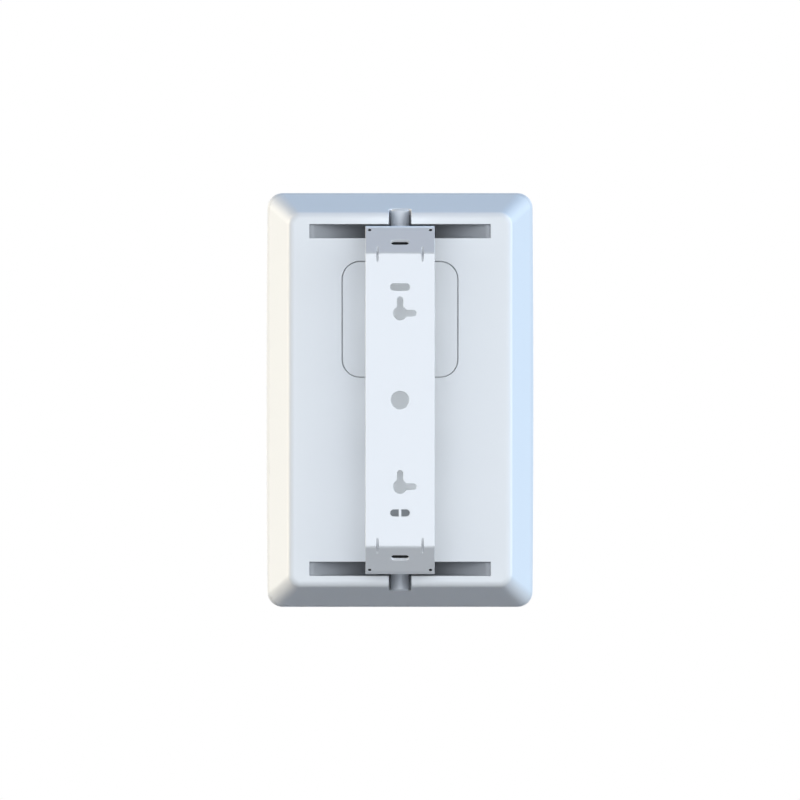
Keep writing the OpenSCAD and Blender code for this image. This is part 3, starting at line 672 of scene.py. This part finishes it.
def tray_outline(inset_side, surface_inset, per_corner=10, per_side=24):
    """Points (x, z) round the tray's front edge; the width follows the taper and the bulge."""
    pts = []
    for sx, sz, a0 in ((1, 1, 0), (-1, 1, 90), (-1, -1, 180), (1, -1, 270)):
        for i in range(per_corner + 1):
            a = math.radians(a0 + 90 * i / per_corner)
            z_guess = sz * (hh(CAB_D) - inset_side)
            for _ in range(3):
                d = front_depth(z_guess, surface_inset)
                r = max(cr(d) - inset_side, 2.0)
                x = sx * (hw(d) - inset_side - r) + r * math.cos(a)
                z = sz * (hh(d) - inset_side - r) + r * math.sin(a)
                z_guess = z
            pts.append((x, z))
    out = []
    for i, p in enumerate(pts):
        q = pts[(i + 1) % len(pts)]
        out.append(p)
        gap = math.hypot(q[0] - p[0], q[1] - p[1])
        if gap > 30:
            for k in range(1, per_side):
                t = k / per_side
                z = p[1] + (q[1] - p[1]) * t
                x = p[0] + (q[0] - p[0]) * t
                if abs(q[1] - p[1]) > abs(q[0] - p[0]):
                    d = front_depth(z, surface_inset)
                    x = math.copysign(hw(d) - inset_side, p[0])
                out.append((x, z))
    return out


def grille():
    skin, edge_r, t = 3.6, 1.5, 1.2
    front_in = 0.2
    outer = tray_outline(skin + edge_r, front_in)
    # holes
    pitch, hole_r, sides, border = 3.8, 1.3, 10, 6.2
    row = pitch * math.sqrt(3) / 2
    loops = []
    rows = int(150 / row)
    for j in range(-rows, rows + 1):
        z = j * row
        off = 0.5 * pitch if j % 2 else 0.0
        for i in range(-30, 31):
            x = i * pitch + off
            d = front_depth(z, front_in)
            w, h, r = hw(d) - skin - border, hh(d) - skin - border, max(cr(d) - skin - border, 4.0)
            dx, dz = max(abs(x) - (w - r), 0.0), max(abs(z) - (h - r), 0.0)
            if math.hypot(dx, dz) > r or abs(x) > w or abs(z) > h:
                continue
            loops.append([(x + hole_r * math.cos(2 * math.pi * (k + 0.5) / sides), z + hole_r * math.sin(2 * math.pi * (k + 0.5) / sides)) for k in range(sides)])
    pts = [Vector(p) for p in outer]
    edges = [(i, (i + 1) % len(outer)) for i in range(len(outer))]
    starts = []
    for loop in loops:
        s = len(pts)
        starts.append(s)
        pts += [Vector(p) for p in loop]
        edges += [(s + k, s + (k + 1) % sides) for k in range(sides)]
    vout, _, fout, vorig, _, _ = mgeo.delaunay_2d_cdt(pts, edges, [], 1, 1e-5, True)
    back = {}
    for i, o in enumerate(vorig):
        for k in o:
            back[i] = k
    hole_of = {}
    for h, s in enumerate(starts):
        for k in range(sides):
            hole_of[s + k] = h
    faces = []
    for f in fout:
        ids = {hole_of.get(back.get(i, -1), -1) for i in f}
        if len(ids) == 1 and -1 not in ids:
            continue
        faces.append(f)
    bm = bmesh.new()

    def at(x, z, inset):
        return bm.verts.new((x / 1000, (YB - front_depth(z, inset)) / 1000, z / 1000))

    front = [at(v.x, v.y, front_in) for v in vout]
    rear = [at(v.x, v.y, front_in + t) for v in vout]
    for f in faces:
        a, b, c = (vout[i] for i in f)
        area = (b.x - a.x) * (c.y - a.y) - (b.y - a.y) * (c.x - a.x)
        order = list(f) if area > 0 else list(reversed(f))
        bm.faces.new([front[i] for i in order])
        bm.faces.new([rear[i] for i in reversed(order)])
    index = {}
    for i, k in back.items():
        index[k] = i
    for s in starts:
        for k in range(sides):
            a, b = index[s + k], index[s + (k + 1) % sides]
            bm.faces.new([front[a], rear[a], rear[b], front[b]])
    # rolled edge and return
    count = len(outer)
    ring_front = [front[index[i]] for i in range(count)]
    ring_rear = [rear[index[i]] for i in range(count)]
    ordered = outer
    norms = []
    for i in range(count):
        p, q = ordered[i - 1], ordered[(i + 1) % count]
        tx, tz = q[0] - p[0], q[1] - p[1]
        ln = math.hypot(tx, tz)
        norms.append((tz / ln, -tx / ln))
    rings_out = [ring_front]
    for s in range(1, 6):
        a = math.radians(90 * s / 5)
        ring = []
        for i in range(count):
            x, z = ordered[i]
            nx, nz = norms[i]
            ox, oz = x + nx * edge_r * math.sin(a), z + nz * edge_r * math.sin(a)
            d = front_depth(z, front_in) - edge_r * (1 - math.cos(a))
            ring.append(bm.verts.new((ox / 1000, (YB - d) / 1000, oz / 1000)))
        rings_out.append(ring)
    lip_o, lip_i = [], []
    for i in range(count):
        x, z = ordered[i]
        nx, nz = norms[i]
        drop = (front_depth(z, front_in) - 163.0) * (FRONT_W - BACK_W) / 2 / CAB_D
        for store, off in ((lip_o, edge_r - drop), (lip_i, edge_r - drop - t)):
            store.append(bm.verts.new(((x + nx * off) / 1000, (YB - 163.0) / 1000, (z + nz * off) / 1000)))
    rings_out.append(lip_o)
    rings_out.append(lip_i)
    rings_out.append(ring_rear)
    for a, b in zip(rings_out, rings_out[1:]):
        for i in range(count):
            k = (i + 1) % count
            bm.faces.new([a[k], a[i], b[i], b[k]])
    bmesh.ops.recalc_face_normals(bm, faces=bm.faces)
    me = bpy.data.meshes.new("grille_shape")
    bm.to_mesh(me)
    bm.free()
    print("grille:", len(loops), "holes,", sum(len(p.vertices) - 2 for p in me.polygons), "triangles")
    return finish_piece(me, "grille_piece", "grille", "cabinet", [M["grille"]], weighted=False, sharp=45)


grille()


def cloth():
    """The scrim: one thin sheet behind the grille, stretched over the same bulge."""
    nx, nz, inset = 24, 60, 1.75
    h = hh(CAB_D) - 5.6
    bm = bmesh.new()
    sheets = []
    for extra in (0.0, 0.35):
        grid = []
        for j in range(nz + 1):
            z = -h + 2 * h * j / nz
            d = front_depth(z, inset + extra)
            w = hw(d) - 5.4
            c = 6.0
            near = max(0.0, abs(z) - (h - c))
            w -= c - math.sqrt(max(c * c - near * near, 0.0))
            grid.append([bm.verts.new(((-w + 2 * w * i / nx) / 1000, (YB - d) / 1000, z / 1000)) for i in range(nx + 1)])
        sheets.append(grid)
    for s, grid in enumerate(sheets):
        for j in range(nz):
            for i in range(nx):
                q = [grid[j][i], grid[j][i + 1], grid[j + 1][i + 1], grid[j + 1][i]]
                bm.faces.new(q if s == 0 else list(reversed(q)))
    a, b = sheets
    rim = [(0, i) for i in range(nx)] + [(j, nx) for j in range(nz)] + [(nz, i) for i in range(nx, 0, -1)] + [(j, 0) for j in range(nz, 0, -1)]
    for (j0, i0), (j1, i1) in zip(rim, rim[1:] + rim[:1]):
        bm.faces.new([a[j0][i0], b[j0][i0], b[j1][i1], a[j1][i1]])
    bmesh.ops.recalc_face_normals(bm, faces=bm.faces)
    me = bpy.data.meshes.new("cloth_shape")
    bm.to_mesh(me)
    bm.free()
    o = finish_piece(me, "grille_cloth_piece", "grille_cloth", "cabinet", [M["cloth"]], weighted=False, sharp=60)
    return o


cloth()


def wadding(node):
    """A block of wadding with soft edges and a lumpy face."""
    bm = clean_copy(node)
    bmesh.ops.triangulate(bm, faces=[f for f in bm.faces if len(f.verts) > 4])
    bevel_sharp(bm, 3.0, 4, 40)
    bmesh.ops.subdivide_edges(bm, edges=[e for e in bm.edges if e.calc_length() > 0.02], cuts=15, use_grid_fill=True)
    bm.normal_update()
    from mathutils import noise

    lo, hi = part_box(node)
    mid = (lo + hi) / 2
    for v in bm.verts:
        k = noise.noise(v.co * 60.0) * 0.5 + noise.noise(v.co * 160.0) * 0.3
        v.co -= v.normal * (0.0012 + 0.0012 * k)
    me = bpy.data.meshes.new(node + "_shape")
    bm.to_mesh(me)
    bm.free()
    o = finish_piece(me, node + "_piece", node, "cabinet", [M["wadding"]], weighted=False, sharp=80)
    return o


wadding("damping_pad_left")
wadding("damping_pad_right")

# ---------------------------------------------------------------- floor, light, camera

floor_mesh = bpy.data.meshes.new("floor_shape")
fb = bmesh.new()
bmesh.ops.create_circle(fb, cap_ends=True, radius=2.0, segments=96)
fb.to_mesh(floor_mesh)
fb.free()
floor = bpy.data.objects.new("floor", floor_mesh)
scene.collection.objects.link(floor)
floor.location = (0, -0.1, -0.42)
pale = node_material("pale_floor", (0.78, 0.785, 0.79), 0.7, grain=120, grain_um=20, mottle=0.01)
pale.node_tree.nodes["Principled BSDF"].inputs["Emission Color"].default_value = (0.95, 0.97, 1.0, 1.0)
pale.node_tree.nodes["Principled BSDF"].inputs["Emission Strength"].default_value = 0.25
floor_mesh.materials.append(pale)
floor.visible_diffuse = False
floor.visible_shadow = False

scene.view_settings.view_transform = "Standard"
scene.view_settings.look = "None"

world = bpy.data.worlds.new("studio")
scene.world = world
world.use_nodes = True
wt = world.node_tree
for n in list(wt.nodes):
    wt.nodes.remove(n)
out = wt.nodes.new("ShaderNodeOutputWorld")
bg = wt.nodes.new("ShaderNodeBackground")
wt.links.new(bg.outputs["Background"], out.inputs["Surface"])
coord = wt.nodes.new("ShaderNodeTexCoord")


def lobe(direction, inner_deg, outer_deg, color):
    """A soft patch of light in the sky: full inside inner_deg of direction, gone outside outer_deg."""
    d = Vector(direction).normalized()
    dot = wt.nodes.new("ShaderNodeVectorMath")
    dot.operation = "DOT_PRODUCT"
    wt.links.new(coord.outputs["Generated"], dot.inputs[0])
    dot.inputs[1].default_value = d
    span = wt.nodes.new("ShaderNodeMapRange")
    span.interpolation_type = "SMOOTHSTEP"
    span.inputs["From Min"].default_value = math.cos(math.radians(outer_deg))
    span.inputs["From Max"].default_value = math.cos(math.radians(inner_deg))
    wt.links.new(dot.outputs["Value"], span.inputs["Value"])
    tint = wt.nodes.new("ShaderNodeVectorMath")
    tint.operation = "SCALE"
    tint.inputs[0].default_value = color
    wt.links.new(span.outputs["Result"], tint.inputs["Scale"])
    return tint.outputs["Vector"]


parts = [
    lobe((0, -1, 0.08), 15, 55, (0.12, 0.34, 0.60)),  # wall behind the object
    lobe((0.62, 0.78, -0.05), 12, 38, (2.06, 2.14, 2.16)),  # left softbox
    lobe((-0.62, 0.78, -0.05), 12, 38, (2.62, 2.74, 2.77)),  # right softbox
    lobe((0.85, -0.53, 0.06), 15, 42, (4.98, 4.40, 3.46)),  # warm light at the left side
    lobe((-0.93, -0.34, 0.16), 15, 45, (2.72, 3.20, 3.78)),  # cool light at the right side
    lobe((0, 1, -0.05), 10, 34, (3.30, 3.52, 3.88)),  # room behind the camera
    lobe((-0.68, 0.0, 0.73), 8, 28, (0.36, 0.5, 0.62)),  # high light over the right edge
    lobe((0, -0.62, 0.78), 4, 16, (1.5, 1.75, 2.0)),  # lamp over the wall, seen in the upper bend
    lobe((0, -0.3, 1), 15, 50, (0.0, 0.02, 0.16)),  # ceiling
]
total = None
for p in parts:
    if total is None:
        total = p
        continue
    add = wt.nodes.new("ShaderNodeVectorMath")
    add.operation = "ADD"
    wt.links.new(total, add.inputs[0])
    wt.links.new(p, add.inputs[1])
    total = add.outputs["Vector"]
# the lights end a little below the horizon, where the floor would stop them
height = wt.nodes.new("ShaderNodeSeparateXYZ")
wt.links.new(coord.outputs["Generated"], height.inputs["Vector"])
horizon = wt.nodes.new("ShaderNodeMapRange")
horizon.interpolation_type = "SMOOTHSTEP"
horizon.inputs["From Min"].default_value = -0.20
horizon.inputs["From Max"].default_value = -0.04
wt.links.new(height.outputs["Z"], horizon.inputs["Value"])
above = wt.nodes.new("ShaderNodeVectorMath")
above.operation = "SCALE"
wt.links.new(total, above.inputs[0])
wt.links.new(horizon.outputs["Result"], above.inputs["Scale"])
base = wt.nodes.new("ShaderNodeVectorMath")
base.operation = "ADD"
base.inputs[1].default_value = (0.010, 0.014, 0.020)
wt.links.new(above.outputs["Vector"], base.inputs[0])
# the camera sees a plain white room
path = wt.nodes.new("ShaderNodeLightPath")
seen = wt.nodes.new("ShaderNodeMix")
seen.data_type = "RGBA"
seen.inputs["B"].default_value = (1.0, 1.0, 1.0, 1.0)
wt.links.new(path.outputs["Is Camera Ray"], seen.inputs["Factor"])
wt.links.new(base.outputs["Vector"], seen.inputs["A"])
wt.links.new(seen.outputs["Result"], bg.inputs["Color"])
bg.inputs["Strength"].default_value = 1.0

cam_data = bpy.data.cameras.new("camera")
cam = bpy.data.objects.new("camera", cam_data)
scene.collection.objects.link(cam)
cam_data.sensor_width = 36
cam_data.lens = 600
cam_data.clip_start = 0.1
cam_data.clip_end = 100
cam_data.dof.use_dof = False
distance = 0.58 * cam_data.lens / 36
cam.location = (0, YB / 1000 + distance, 0)
cam.rotation_euler = (math.radians(90), 0, math.radians(180))
scene.camera = cam
